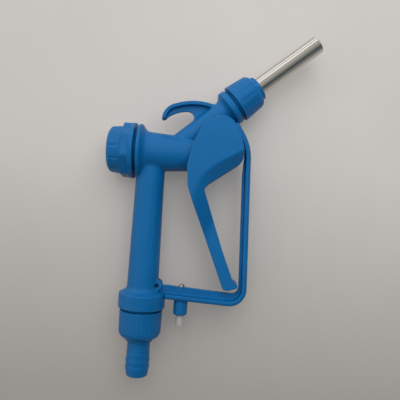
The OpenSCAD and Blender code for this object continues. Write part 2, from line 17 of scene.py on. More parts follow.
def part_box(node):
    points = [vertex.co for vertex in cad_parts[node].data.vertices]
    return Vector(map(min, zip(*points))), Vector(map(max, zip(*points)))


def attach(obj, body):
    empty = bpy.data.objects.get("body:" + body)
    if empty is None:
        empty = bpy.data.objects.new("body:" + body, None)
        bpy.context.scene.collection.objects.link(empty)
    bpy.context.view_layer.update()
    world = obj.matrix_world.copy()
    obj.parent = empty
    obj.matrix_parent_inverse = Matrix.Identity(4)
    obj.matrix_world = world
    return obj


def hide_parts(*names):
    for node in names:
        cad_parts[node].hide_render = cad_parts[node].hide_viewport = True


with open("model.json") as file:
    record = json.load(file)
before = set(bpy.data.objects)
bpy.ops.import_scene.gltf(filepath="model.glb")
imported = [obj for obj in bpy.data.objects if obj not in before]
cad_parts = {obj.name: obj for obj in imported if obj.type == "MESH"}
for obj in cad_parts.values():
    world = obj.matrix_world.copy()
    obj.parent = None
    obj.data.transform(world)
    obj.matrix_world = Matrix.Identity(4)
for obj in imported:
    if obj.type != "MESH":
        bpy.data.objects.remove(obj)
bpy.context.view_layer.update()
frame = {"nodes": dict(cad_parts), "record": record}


def middle(node):
    low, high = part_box(node)
    return (low + high) / 2


ORIGIN = Vector((middle("hose_tail").x, middle("seat_ring").y, middle("spout_tube").z))


def span(node):
    """Lowest and highest corners of a CAD node, in the nozzle's own axes."""
    low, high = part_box(node)
    return (low - ORIGIN) * 1000, (high - ORIGIN) * 1000


# ------------------------------------------------------------------ sizes
CAP_LOW, CAP_HIGH = span("rear_cap")
NUT_LOW, NUT_HIGH = span("hose_nut")
TAIL_LOW, TAIL_HIGH = span("hose_tail")
LEVER_HIGH = span("lever")[1]
BUTTON_LOW, BUTTON_HIGH = span("latch_button")
CUP_LOW = span("spring_cup")[0]
TUBE_HIGH = span("spout_tube")[1]

# Outlet axis: its slope and the point where it leaves the chamber's axis
OUTLET_ANGLE = math.radians(40)
OUTLET_X = 17.85
ALONG = np.array([math.cos(OUTLET_ANGLE), math.sin(OUTLET_ANGLE)])
ACROSS = np.array([-math.sin(OUTLET_ANGLE), math.cos(OUTLET_ANGLE)])
SPOUT_R = TUBE_HIGH.z
SPOUT_TIP = (TUBE_HIGH.x - SPOUT_R * ALONG[1] - OUTLET_X) / ALONG[0]
OUTLET_FLANGE_R = 19.3
OUTLET_FLANGE_S = 85
SPOUT_NUT_S = 88.3
SPOUT_NUT_R = 20.5
SPOUT_NUT_LEN = 30.3
SPOUT_SOCKET_S = 92
SPOUT_FIT_R = SPOUT_R - 0.25
SPOUT_SPIGOT_R = 16.2
SPOUT_SPIGOT_END = 103

# Body
GRIP_TOP_R = 15.2
GRIP_LOW_R = 16.6
GRIP_TAPER_TOP = -40
GRIP_TAPER_END = -146.5
COLLAR_R = 24.7
COLLAR_TOP = -150.5
COLLAR_END = -165.6
SPIGOT_R = 19
SPIGOT_END = -184
CHAMBER_R = 20.9
CHAMBER_END = 46
THREAD_PITCH = 3
CAP_BAND_LEN = 4.6
CAP_FLAT_LEN = 9
CAP_FLAT_TURN = math.radians(-7.5)
CAP_FLUTE_TURN = math.radians(-4)
CAP_CORNER_R = 29.7
REAR_FLANGE_X = -14.1
REAR_FLANGE_R = 28.85
REAR_SPIGOT_R = 21.8
REAR_SPIGOT_X = -36
PIVOT = np.array([75.4, 24.8])
PIVOT_HOLE_R = 3.05
PIVOT_BOSS_R = 6.5
PIVOT_BOSS_Z = 22
PIVOT_RIB = 5.5
PIVOT_RIB_Z = 7
HOOK_Z = 7.5
EAR = np.array([15.4, -140.7])
EAR_R = 5.4
EAR_Z = 8
EAR_SLOT_LOW = (11.8, -149)
EAR_SLOT_HIGH = (40, -130)
LUG_Z = 4
PIN_R = 2
LATCH_PIN_R = 1.3
TOP_LUG = np.array([75.4, -20.5])
TOP_LUG_R = 2.8
TOP_SCREW_R = 1.5
TOP_SCREW_END_Z = 8.5
TOP_FORK_Z = 10.5

# Bores of the body
INLET_BORE_R = 10.5
REAR_BORE_R = 16
REAR_BORE_X = 15
FRONT_BORE_R = 12
FRONT_BORE_X = 36
GLAND_HOLE_R = 7
GLAND_SEAT_R = 9.8
GLAND_SEAT_X = 42.5
OUTLET_BORE_R = 8.5
OUTLET_BORE_S = 7
SLEEVE_ROOM_R = 9.1

# Lever
CHEEK_Z = LEVER_HIGH.z
ARM_Z = 11
LEVER_WALL = 3
SLEEVE_X = 63.8
SLEEVE_BOSS_R = 4.5
SLEEVE_HOLE_R = 2.5

# Guard
STRAP_Z = 11
STRAP_T = 5.2
WEB_Z = 2
WEB_TOP = np.array([98.9, 8.5])
WEB_BEND_R = 7.0
WEB_SIDE_DEPTH = 8.2
WEB_FOOT_DEPTH = 12
WEB_SIDE_LEN = 118
WEB_EDGE_DEPTH = 2
WEB_EDGE_LEN = 142
WEB_FOOT_TURN = 91
CORNER = np.array([92.1, -138.9])
CORNER_R = 18
SIDE_TILT = 2.1
FOOT_TILT = -92.5
FOOT_LEN = 66.6
BROW = np.array([53.1, -2.9])
BROW_R = 52
BROW_END = 33.1
BROW_TAIL = 13.4
LATCH_X = 41.7
BOSS_R = 7.4
BOSS_END = -170.9
LATCH_SEAT = -141.4
LATCH_STEP = -153

# Camera: the point below it in the nozzle's axes, then metres above the spout's axis
CAMERA_FOOT = Vector((54.7, -47.6, 0))
CAMERA_HEIGHT = 0.470
CAMERA_TURN = math.radians(4.0)


# ------------------------------------------------------------------ outlines
def heading(degrees):
    return np.array([math.cos(math.radians(degrees)), math.sin(math.radians(degrees))])


def arc(centre, radius, start, end, steps):
    """Points on an arc, from one heading to another."""
    return [np.asarray(centre) + radius * heading(a) for a in np.linspace(start, end, steps + 1)]


def rounded(corners, closed=True):
    """An outline whose corners, given as (x, y, radius), are turned into arcs."""
    points = []
    count = len(corners)
    for i, (x, y, radius) in enumerate(corners):
        here = np.array([x, y], float)
        if radius == 0 or (not closed and i in (0, count - 1)):
            points.append(here)
            continue
        before = np.array(corners[i - 1][:2], float) - here
        after = np.array(corners[(i + 1) % count][:2], float) - here
        room = min(np.linalg.norm(before), np.linalg.norm(after)) * 0.48
        before /= np.linalg.norm(before)
        after /= np.linalg.norm(after)
        half = math.acos(np.clip(before @ after, -1, 1)) / 2
        cut = min(radius / math.tan(half), room)
        radius = cut * math.tan(half)
        centre = here + (before + after) / np.linalg.norm(before + after) * radius / math.sin(half)
        first = here + before * cut - centre
        last = here + after * cut - centre
        turn = math.atan2(first[0] * last[1] - first[1] * last[0], first @ last)
        steps = max(2, round(abs(math.degrees(turn)) / 15))
        for t in np.linspace(0, turn, steps + 1):
            c, s = math.cos(t), math.sin(t)
            points.append(centre + np.array([c * first[0] - s * first[1], s * first[0] + c * first[1]]))
    return points


def spaced(points, longest, closed=False):
    """The same line with points added wherever a step is longer than longest."""
    line = [np.asarray(p, float) for p in points]
    ends = line[1:] + ([line[0]] if closed else [])
    result = []
    for a, b in zip(line, ends):
        steps = max(1, math.ceil(np.linalg.norm(b - a) / longest))
        result += [a + (b - a) * i / steps for i in range(steps)]
    return result if closed else result + [line[-1]]


def inset(points, depth):
    """An open line moved sideways to its left."""
    line = np.array(points, float)
    along = np.gradient(line, axis=0)
    along /= np.linalg.norm(along, axis=1)[:, None]
    return line + depth * np.stack([-along[:, 1], along[:, 0]], 1)


class Outline:
    """Distance to a closed outline, below zero inside, kept as a table that is read by interpolation."""

    def __init__(self, points, soften=0.0, cell=0.25, margin=8.0):
        points = np.array(points, float)
        self.cell = cell
        self.low = points.min(0) - margin
        shape = np.ceil((points.max(0) + margin - self.low) / cell).astype(int) + 1
        x = self.low[0] + cell * np.arange(shape[0])[:, None]
        y = self.low[1] + cell * np.arange(shape[1])[None, :]
        nearest = np.full(shape, np.inf)
        inside = np.zeros(shape, bool)
        for a, b in zip(points, np.roll(points, -1, axis=0)):
            ex, ey = b - a
            if ex == 0 and ey == 0:
                continue
            t = np.clip(((x - a[0]) * ex + (y - a[1]) * ey) / (ex * ex + ey * ey), 0, 1)
            nearest = np.minimum(nearest, (x - a[0] - t * ex) ** 2 + (y - a[1] - t * ey) ** 2)
            if ey != 0:
                crosses = ((a[1] <= y) != (b[1] <= y)) & (x < a[0] + (y - a[1]) * ex / ey)
                inside ^= crosses
        table = np.where(inside, -1, 1) * np.sqrt(nearest)
        for _ in range(round(2 * (soften / cell) ** 2)):
            table = blurred(table)
        self.table = table.astype(np.float32)

    def __call__(self, x, y):
        u = np.clip((x - self.low[0]) / self.cell, 0, self.table.shape[0] - 1.001)
        v = np.clip((y - self.low[1]) / self.cell, 0, self.table.shape[1] - 1.001)
        i, j = u.astype(np.int32), v.astype(np.int32)
        u, v = u - i, v - j
        t = self.table
        near = t[i, j] * (1 - v) + t[i, j + 1] * v
        return near * (1 - u) + (t[i + 1, j] * (1 - v) + t[i + 1, j + 1] * v) * u


def blurred(table):
    """One pass of a three-point blur each way."""
    wide = np.pad(table, 1, mode="edge")
    wide = (wide[:-2] + 2 * wide[1:-1] + wide[2:]) / 4
    return (wide[:, :-2] + 2 * wide[:, 1:-1] + wide[:, 2:]) / 4


# ------------------------------------------------------------------ fields: distances in space
def join(a, b, k):
    """Union of two solids with a fillet about k wide."""
    h = np.maximum(k - np.abs(a - b), 0) / k
    return np.minimum(a, b) - h * h * k / 4


def cut(a, b, k):
    """Solid a without solid b, with the edge eased by about k."""
    return -join(-a, b, k)


def both(a, b, r):
    """Where two solids overlap, with edges rounded to radius r."""
    inner = np.minimum(np.maximum(a + r, b + r), 0)
    return inner + np.hypot(np.maximum(a + r, 0), np.maximum(b + r, 0)) - r


def slab(z, half):
    return np.abs(z) - half


def between(value, low, high):
    """Distance to the slab between two planes."""
    return slab(value - (low + high) / 2, (high - low) / 2)


def rod(x, y, centre, radius):
    return np.hypot(x - centre[0], y - centre[1]) - radius


def block(x, y, low, high):
    """A rectangle in the mid-plane, between two corners."""
    dx = np.maximum(low[0] - x, x - high[0])
    dy = np.maximum(low[1] - y, y - high[1])
    return np.minimum(np.maximum(dx, dy), 0) + np.hypot(np.maximum(dx, 0), np.maximum(dy, 0))


def on_outlet(x, y):
    """Distance along the outlet's axis and height over it, in the mid-plane."""
    return (x - OUTLET_X) * ALONG[0] + y * ALONG[1], (x - OUTLET_X) * ACROSS[0] + y * ACROSS[1]


PIVOT_S, PIVOT_T = on_outlet(*PIVOT)


def top_screw_hole(s, t, z):
    """The hole, open at the back, for the screw through the guard's fork."""
    return np.maximum(rod(s, t, TOP_LUG, TOP_SCREW_R), z - TOP_SCREW_END_Z)


def thread(r, station, radius, start, end):
    """A threaded spigot: ridges of rounded section one pitch apart."""
    ridge = 0.5 * np.cos(2 * math.pi * station / THREAD_PITCH)
    return both(r - radius + 0.5 - ridge, slab(station - (start + end) / 2, abs(end - start) / 2), 0.3)


# ------------------------------------------------------------------ meshes
BLOCK = 8


def solid(name, field, low, high, step, keep=1.0):
    """A mesh of the surface where field is zero, sampled every step and then drawn onto the surface."""
    points, quads = surface(field, np.array(low, float), np.array(high, float), step)
    mesh = new_mesh(name, points, quads)
    if keep < 1:
        mesh = thinned(mesh, keep)
    points = np.empty(len(mesh.vertices) * 3, np.float32)
    mesh.vertices.foreach_get("co", points)
    points = points.reshape(-1, 3)
    points, normals = settled(field, points, step)
    mesh.vertices.foreach_set("co", points.ravel())
    mesh.normals_split_custom_set_from_vertices(normals)
    return placed(name, mesh)


def surface(field, low, high, step):
    """Quads around the zero level, with the field worked out only in blocks that are near it."""
    blocks = np.ceil((high - low) / (step * BLOCK)).astype(int)
    corner = np.stack(np.meshgrid(*[np.arange(n) for n in blocks], indexing="ij"), -1).reshape(-1, 3)
    centre = low + (corner + 0.5) * BLOCK * step
    far = field(*centre.T.astype(np.float32))
    close = np.abs(far) < BLOCK * step * 1.4
    values = np.sign(far)[:, None] * np.full((1, BLOCK ** 3), 3 * step)
    cell = np.stack(np.meshgrid(*[np.arange(BLOCK)] * 3, indexing="ij"), -1).reshape(-1, 3)
    chosen = np.flatnonzero(close)
    for part in np.array_split(chosen, max(1, len(chosen) // 1500)):
        at = low + (corner[part][:, None, :] * BLOCK + cell[None]) * step
        x, y, z = (at[..., k].astype(np.float32) for k in range(3))
        values[part] = np.clip(field(x, y, z), -3 * step, 3 * step)
    values = values.reshape(*blocks, BLOCK, BLOCK, BLOCK).transpose(0, 3, 1, 4, 2, 5)
    values = np.ascontiguousarray(values.reshape(blocks * BLOCK), dtype=np.float32)
    grid = vdb.FloatGrid(3 * step)
    grid.copyFromArray(values)
    points, quads = grid.convertToQuads(0)
    return low + points * step, quads


def settled(field, points, step):
    """Points moved onto the zero level, and the surface's normals there."""
    for _ in range(2):
        slope = gradient(field, points)
        length = np.maximum((slope ** 2).sum(1), 0.25)
        move = np.clip(field(*points.T) / length, -step / 2, step / 2)
        points = (points - move[:, None] * slope).astype(np.float32)
    slope = gradient(field, points)
    return points, slope / np.maximum(np.linalg.norm(slope, axis=1)[:, None], 1e-6)


def gradient(field, points, reach=0.3):
    slope = np.empty_like(points)
    for k in range(3):
        offset = np.zeros(3, np.float32)
        offset[k] = reach
        slope[:, k] = (field(*(points + offset).T) - field(*(points - offset).T)) / (2 * reach)
    return slope


def new_mesh(name, points, faces):
    mesh = bpy.data.meshes.new(name)
    mesh.from_pydata(np.asarray(points).tolist(), [], np.asarray(faces).tolist())
    mesh.shade_smooth()
    return mesh


def thinned(mesh, keep):
    """The mesh with fewer faces, most of them taken where it is flat."""
    holder = bpy.data.objects.new("holder", mesh)
    bpy.context.scene.collection.objects.link(holder)
    modifier = holder.modifiers.new("thin", "DECIMATE")
    modifier.ratio = keep
    result = bpy.data.meshes.new_from_object(holder.evaluated_get(bpy.context.evaluated_depsgraph_get()))
    bpy.data.objects.remove(holder)
    return result


def placed(name, mesh):
    """An object whose mesh, made in millimetres, is set into the frame in metres."""
    mesh.transform(Matrix.Translation(ORIGIN) @ Matrix.Scale(0.001, 4))
    mesh.name = name
    item = bpy.data.objects.new(name, mesh)
    bpy.context.scene.collection.objects.link(item)
    return item


def turned(name, profile, base, along, segments=160, relief=None, closed=True):
    """An outline of (radius, station) turned about an axis. relief(r, s, angle) is added to the radius."""
    profile = np.array(profile, float)
    angles = np.arange(segments) * 2 * math.pi / segments
    r = np.repeat(profile[:, :1], segments, 1)
    s = np.repeat(profile[:, 1:], segments, 1)
    if relief is not None:
        r = np.maximum(r + relief(r, s, angles[None, :]), 0)
    along = np.array([*along, 0.0])
    side = np.array([-along[1], along[0], 0.0])
    up = np.array([0.0, 0.0, 1.0])
    turn = np.cos(angles)[None, :, None] * up + np.sin(angles)[None, :, None] * side
    points = np.array([*base, 0.0]) + s[..., None] * along + r[..., None] * turn
    count = len(profile)
    ring = np.arange(segments)
    rows = count if closed else count - 1
    faces = []
    for i in range(rows):
        a = i * segments
        b = (i + 1) % count * segments
        faces.append(np.stack([a + ring, b + ring, b + (ring + 1) % segments, a + (ring + 1) % segments], 1))
    mesh = new_mesh(name, points.reshape(-1, 3), np.concatenate(faces))
    return placed(name, tidied(mesh))


def tidied(mesh):
    """Joins points that meet on an axis, turns faces outwards and keeps the true edges sharp."""
    work = bmesh.new()
    work.from_mesh(mesh)
    bmesh.ops.remove_doubles(work, verts=work.verts, dist=1e-4)
    bmesh.ops.dissolve_degenerate(work, edges=work.edges, dist=1e-5)
    bmesh.ops.recalc_face_normals(work, faces=work.faces)
    work.to_mesh(mesh)
    work.free()
    mesh.shade_smooth()
    mesh.set_sharp_from_angle(angle=math.radians(38))
    return mesh


def bead(name, path, radius, sides=8):
    """A thin round bead laid along a line of points in space."""
    path = np.array(path, float)
    along = np.gradient(path, axis=0)
    along /= np.linalg.norm(along, axis=1)[:, None]
    side = np.cross(along, [0.0, 0.0, 1.0])
    side /= np.linalg.norm(side, axis=1)[:, None]
    up = np.cross(side, along)
    angles = np.arange(sides) * 2 * math.pi / sides
    ring = np.cos(angles)[None, :, None] * side[:, None] + np.sin(angles)[None, :, None] * up[:, None]
    points = (path[:, None] + radius * ring).reshape(-1, 3)
    k = np.arange(sides)
    faces = []
    for i in range(len(path) - 1):
        a, b = i * sides, (i + 1) * sides
        faces += np.stack([a + k, a + (k + 1) % sides, b + (k + 1) % sides, b + k], 1).tolist()
    faces += [k[::-1].tolist(), (k + (len(path) - 1) * sides).tolist()]
    mesh = bpy.data.meshes.new(name)
    mesh.from_pydata(points.tolist(), [], faces)
    return placed(name, tidied(mesh))


# ------------------------------------------------------------------ valve body
GRIP = Outline(rounded([
    (0, 2, 0), (GRIP_TOP_R, 2, 0), (GRIP_TOP_R, GRIP_TAPER_TOP, 0), (GRIP_LOW_R, GRIP_TAPER_END, 7),
    (COLLAR_R, COLLAR_TOP, 1.6), (COLLAR_R, COLLAR_END, 0.9), (0, COLLAR_END, 0)]))
CHAMBER = Outline(rounded([
    (0, REAR_FLANGE_X, 0), (REAR_FLANGE_R, REAR_FLANGE_X, 0.8), (REAR_FLANGE_R, REAR_FLANGE_X + 3.2, 1.6),
    (21.6, -6.2, 6), (CHAMBER_R, 0, 0), (17.6, CHAMBER_END, 4), (0, CHAMBER_END, 0)]))
OUTLET = Outline(rounded([
    (0, 4, 0), (11.9, 4, 0), (13.2, 74.5, 6), (OUTLET_FLANGE_R, 79, 1.2),
    (OUTLET_FLANGE_R, OUTLET_FLANGE_S, 0.8), (0, OUTLET_FLANGE_S, 0)]))

TIP_ARC = arc((26.4, 35.1), 17.8, 178, 107, 12)
CREST_ARC = arc((44.5, -8.5), 64.8, 109, 73.5, 14)
HOOK_STRAP = Outline(TIP_ARC + CREST_ARC + arc((44.5, -8.5), 60.8, 73.5, 109, 14)
                     + arc((26.4, 35.1), 13.8, 107, 176, 12), soften=0.5)
HOOK_WEB = Outline(TIP_ARC + CREST_ARC + [(52, 34)] + arc((35.2, 37.8), 7.5, -15, 95, 12)
                   + arc((36.1, 10.4), 34.85, 95.5, 136, 12) + [(10.4, 34)], soften=0.4)


def passages(x, y, z):
    """Everything that is bored out of the body."""
    grip_r, chamber_r = np.hypot(x, z), np.hypot(y, z)
    s, t = on_outlet(x, y)
    outlet_r = np.hypot(t, z)
    holes = np.maximum(grip_r - INLET_BORE_R, y)
    for hole in (
            np.maximum(chamber_r - REAR_BORE_R, np.maximum(REAR_SPIGOT_X - 2 - x, x - REAR_BORE_X)),
            np.maximum(chamber_r - FRONT_BORE_R, between(x, REAR_BORE_X - 1, FRONT_BORE_X)),
            np.maximum(chamber_r - GLAND_HOLE_R, between(x, FRONT_BORE_X - 2, CHAMBER_END)),
            np.maximum(chamber_r - GLAND_SEAT_R, GLAND_SEAT_X - x),
            np.maximum(outlet_r - OUTLET_BORE_R, between(s, OUTLET_BORE_S, SPOUT_SOCKET_S + 1)),
            np.maximum(outlet_r - SPOUT_R, SPOUT_SOCKET_S - s)):
        holes = np.minimum(holes, hole)
    return holes


def body_field(x, y, z):
    grip_r, chamber_r = np.hypot(x, z), np.hypot(y, z)
    s, t = on_outlet(x, y)
    outlet_r = np.hypot(t, z)
    grip = np.minimum(GRIP(grip_r, y), thread(grip_r, y, SPIGOT_R, SPIGOT_END, COLLAR_END + 1))
    chamber = np.minimum(CHAMBER(chamber_r, x),
                         thread(chamber_r, x, REAR_SPIGOT_R, REAR_SPIGOT_X, REAR_FLANGE_X + 1))
    outlet = np.minimum(OUTLET(outlet_r, s),
                        thread(outlet_r, s, SPOUT_SPIGOT_R, OUTLET_FLANGE_S - 1, SPOUT_SPIGOT_END))
    hook = join(both(HOOK_STRAP(x, y), slab(z, HOOK_Z), 0.9), both(HOOK_WEB(x, y), slab(z, WEB_Z), 0.5), 1.5)
    boss = both(rod(x, y, PIVOT, PIVOT_BOSS_R), slab(z, PIVOT_BOSS_Z), 0.6)
    rib = block(s, t - (PIVOT_T - PIVOT_RIB), (PIVOT_S - PIVOT_RIB, 0), (PIVOT_S + PIVOT_RIB, 2 * PIVOT_RIB))
    boss = join(boss, np.maximum(rib, slab(z, PIVOT_RIB_Z)), 1)
    ears = np.minimum(rod(x, y, EAR, EAR_R), block(x, y, EAR - (12, EAR_R), EAR + (0, EAR_R)))
    ears = both(ears, slab(z, EAR_Z), 0.7)
    ears = cut(ears, np.maximum(block(x, y, EAR_SLOT_LOW, EAR_SLOT_HIGH), slab(z, LUG_Z + 0.2)), 0.3)
    lug = np.minimum(rod(s, t, TOP_LUG, TOP_LUG_R),
                     block(s, t, TOP_LUG + (-TOP_SCREW_R, 0), TOP_LUG + (2 * TOP_SCREW_R, 9)))
    lug = both(lug, slab(z, LUG_Z), 0.4)
    whole = join(chamber, grip, 1.6)
    whole = join(whole, outlet, 1.4)
    whole = join(whole, hook, 2)
    whole = join(whole, boss, 2)
    whole = join(whole, ears, 2.5)
    whole = join(whole, lug, 1)
    whole = cut(whole, passages(x, y, z), 0.5)
    whole = cut(whole, rod(x, y, PIVOT, PIVOT_HOLE_R), 0.4)
    whole = cut(whole, rod(x, y, EAR, PIN_R), 0.5)
    whole = cut(whole, top_screw_hole(s, t, z), 0.3)
    return cut(whole, np.maximum(chamber_r - SLEEVE_ROOM_R, CHAMBER_END - x), 0.5)


def grip_panel():
    """The line around the panel on the grip: straight sides, a square top and a round bottom."""
    half, top, bottom = 7.8, -38.0, -123.0
    ring = [(-half, top), (half, top)] + arc((0, bottom + half), half, 0, -180, 24) + [(-half, top)]
    line = np.array(spaced(ring, 1.5))
    share = np.clip((GRIP_TAPER_TOP - line[:, 1]) / (GRIP_TAPER_TOP - GRIP_TAPER_END), 0, 1)
    radius = GRIP_TOP_R + (GRIP_LOW_R - GRIP_TOP_R) * share
    return line, np.sqrt(radius ** 2 - line[:, 0] ** 2)


def make_body():
    body = solid("valve_body_skin", body_field, (-37, -185, -30), (92, 84, 30), 0.62, keep=0.38)
    finish(body, "root", "blue_plastic", "valve_body")
    line, height = grip_panel()
    for side, sign in (("front", 1), ("back", -1)):
        path = np.column_stack([line, sign * (height - 0.12)])
        finish(bead(f"grip_panel_line_{side}", path, 0.34), "root", "blue_plastic")


# ------------------------------------------------------------------ lever
LEVER_TOP = arc((72.3, 24.6), 14.8, 128, 60, 10)
LEVER = Outline(
    [(84.9, -139.7), (46.4, -48), (41.2, -34)] + arc((55.6, -14.2), 16.5, 200, 168, 8)
    + [(43.6, 10.2), (54.2, 31)] + LEVER_TOP
    + [(83.6, 35.0), (87.6, 28.0), (91.5, 21.2), (95.2, 10.8), (96.1, 4.4)]
    + arc((84.6, 0.2), 11.8, 0, -60, 10)
    + [(61.6, -31.2)] + arc((63.2, -36.6), 4.6, 105, 200, 8)
    + [(81.4, -98.1), (95, -130.6), (100.4, -134.2), (100.2, -137.2), (90, -140.6)], soften=0.7)
LEVER_HOLLOW = Outline(
    [(20, 70), (94, 70), (94, 32), (82.2, 30.6), (90, 14), (92.6, 3), (90.6, -5.5), (85, -11.7),
     (58.2, -31.4), (56.1, -41), (78.6, -99.3), (90.3, -127.4), (62.7, -139), (20, -40)], soften=0.5)
BEVEL_RIGHT = np.array([95.4, 5.6])
BEVEL_BEND = np.array([56.8, -17.6])
BEVEL_LEFT = np.array([49.8, -35.8])
GENTLE_FALL = 0.55


def past_line(x, y, a, b):
    """Distance to the left of the line from a to b."""
    along = (b - a) / np.linalg.norm(b - a)
    return (y - a[1]) * along[0] - (x - a[0]) * along[1]


def lever_height(x, y, z, cheek, arm, shift):
    """Distance over the lever's faces: flat cheeks, steep on the right and gentle down the arm."""
    steep = past_line(x, y, BEVEL_RIGHT, BEVEL_BEND)
    gentle = past_line(x, y, BEVEL_BEND, BEVEL_LEFT) * GENTLE_FALL
    drop = join(steep, gentle, 9) - shift
    ramp = join((np.abs(z) + drop - cheek) / 1.3, np.abs(z) - arm, 2)
    return both(np.abs(z) - cheek, ramp, 1.4)


def lever_field(x, y, z):
    whole = both(LEVER(x, y), lever_height(x, y, z, CHEEK_Z, ARM_Z, 0), 0.9)
    inner = CHEEK_Z - LEVER_WALL
    room = lever_height(x, y, z, inner, ARM_Z - LEVER_WALL, -LEVER_WALL * 0.4)
    whole = cut(whole, both(LEVER_HOLLOW(x, y), room, 0.6), 0.6)
    boss = both(rod(x, y, (SLEEVE_X, 0), SLEEVE_BOSS_R), slab(np.abs(z) - inner + 1, 2), 0.3)
    whole = join(whole, boss, 0.6)
    whole = cut(whole, np.maximum(rod(x, y, PIVOT, PIVOT_HOLE_R), slab(z, CHEEK_Z - 1)), 0.3)
    return cut(whole, np.maximum(rod(x, y, (SLEEVE_X, 0), SLEEVE_HOLE_R), slab(z, CHEEK_Z - 1)), 0.3)


def make_lever():
    skin = solid("lever_skin", lever_field, (40, -143, -29), (103, 42, 29), 0.6, keep=0.42)
    finish(skin, "lever", "blue_plastic", "lever")
    edge = [(50.5, -36)] + arc((55.6, -14.2), 16.5, 205, 168, 8) + [(43.6, 10.2), (54.2, 31)] + LEVER_TOP
    line = inset(spaced(edge, 1.5), -1.9)
    for side, sign in (("front", 1), ("back", -1)):
        path = np.column_stack([line, np.full(len(line), sign * (CHEEK_Z - 0.2))])
        finish(bead(f"lever_rim_line_{side}", path, 0.32), "lever", "blue_plastic")


# ------------------------------------------------------------------ guard
def guard_line(depth):
    """The guard's line at a depth inside its outer edge: top, side, corner and foot."""
    start = BROW + (BROW_R - depth) * heading(BROW_END) + BROW_TAIL * heading(BROW_END + 90)
    side = arc(BROW, BROW_R - depth, BROW_END, SIDE_TILT, 12)
    corner = arc(CORNER, CORNER_R - depth, SIDE_TILT, FOOT_TILT, 16)
    end = CORNER + (CORNER_R - depth) * heading(FOOT_TILT) + FOOT_LEN * heading(FOOT_TILT - 90)
    return [start] + side + corner + [end]


def web_line(extra=0.0):
    """The inner edge of the guard's web, deeper along the foot than along the side."""
    side, foot = heading(SIDE_TILT), heading(FOOT_TILT)
    centre = (CORNER + (CORNER_R - WEB_SIDE_DEPTH - WEB_BEND_R) * side
              + (CORNER_R - WEB_FOOT_DEPTH - WEB_BEND_R) * foot)
    radius = WEB_BEND_R + extra
    return ([WEB_TOP, centre + radius * side + WEB_SIDE_LEN * heading(SIDE_TILT + 90)]
            + arc(centre, radius, SIDE_TILT, FOOT_TILT, 12)
            + [centre + radius * foot + (FOOT_LEN + 3) * heading(FOOT_TILT - WEB_FOOT_TURN)])


def web_outline(inner):
    """The web's outline: its edge inside the strap, then its inner edge."""
    radius = CORNER_R - WEB_EDGE_DEPTH
    outer = [CORNER + radius * heading(SIDE_TILT) + WEB_EDGE_LEN * heading(SIDE_TILT + 90)]
    outer += arc(CORNER, radius, SIDE_TILT, FOOT_TILT, 12)
    outer += [CORNER + radius * heading(FOOT_TILT) + FOOT_LEN * heading(FOOT_TILT - 90)]
    return outer + inner[::-1]


STRAP = Outline(guard_line(0) + guard_line(STRAP_T)[::-1])
WEB = Outline(web_outline(web_line()))
INSIDE = Outline(guard_line(0) + [(-15, -152), (-20, 80), guard_line(0)[0] + 25 * heading(BROW_END + 90)])
FOOT_WEB = Outline([EAR + (0, 1), EAR + (3, 0.4), EAR + (14.6, -0.2), EAR + (14.6, -12.3),
                    EAR + (9.8, -12.3), EAR + (9.2, -10.7), EAR + (2.9, -7.4), EAR - (0, 3.4)])


def guard_field(x, y, z):
    s, t = on_outlet(x, y)
    strap = np.maximum(both(STRAP(x, y), slab(z, STRAP_Z), 0.8), both(INSIDE(x, y), slab(z, STRAP_Z), 3.0))
    whole = join(strap, both(WEB(x, y), slab(z, WEB_Z), 0.6), 1.6)
    whole = join(whole, both(rod(x, y, EAR, 3.4), slab(z, LUG_Z), 0.4), 1)
    whole = join(whole, both(FOOT_WEB(x, y), slab(z, WEB_Z), 0.5), 1)
    whole = join(whole, both(rod(s, t, TOP_LUG, TOP_LUG_R), slab(z, TOP_FORK_Z), 0.5), 1)
    boss_r = np.hypot(x - LATCH_X, z)
    whole = join(whole, both(boss_r - BOSS_R, between(y, BOSS_END, LATCH_STEP + 1), 1.6), 1.5)
    whole = join(whole, both(boss_r - 2.4, slab(y - (LATCH_STEP + LATCH_SEAT) / 2, 5.4), 0.3), 1)
    whole = cut(whole, np.maximum(boss_r - LATCH_PIN_R - 0.08, y - LATCH_SEAT - 2), 0.3)
    whole = cut(whole, np.maximum(boss_r - 4.4, y - LATCH_STEP), 0.6)
    whole = cut(whole, rod(x, y, EAR, PIN_R), 0.4)
    whole = cut(whole, top_screw_hole(s, t, z), 0.3)
    fork = np.maximum(block(s, t, TOP_LUG - (6, 3.3), TOP_LUG + (6, 8.7)), slab(z, LUG_Z + 0.1))
    fork = np.minimum(fork, np.maximum(rod(s, t, TOP_LUG, TOP_SCREW_R + 1.3), z + TOP_FORK_Z))
    flange = np.maximum(np.hypot(t, z) - OUTLET_FLANGE_R - 0.2, slab(s - OUTLET_FLANGE_S + 4.5, 7.5))
    return cut(whole, np.minimum(fork, flange), 0.3)


def make_guard():
    skin = solid("guard_skin", guard_field, (14, -173, -13), (112.5, 50, 13), 0.55, keep=0.5)
    finish(skin, "root", "blue_plastic", "guard")
    line = np.array(spaced(web_line(0.5)[2:], 1.5))
    for side, sign in (("front", 1), ("back", -1)):
        path = np.column_stack([line, np.full(len(line), sign * (WEB_Z + 0.05))])
        finish(bead(f"guard_web_bead_{side}", path, 0.5), "root", "blue_plastic")


# ------------------------------------------------------------------ turned pieces
def step_up(value, start, end):
    """0 before start, 1 after end, and a smooth ramp between."""
    t = np.clip((value - start) / (end - start), 0, 1)
    return t * t * (3 - 2 * t)


def window(value, low, high, soft):
    """1 between low and high, with soft shoulders."""
    return step_up(value, low, low + soft) * (1 - step_up(value, high - soft, high))


def repeats(angle, count, phase=0.0):
    """Angle from the nearest of count equally spaced directions, in radians."""
    pitch = 2 * math.pi / count
    return (angle - phase + pitch / 2) % pitch - pitch / 2


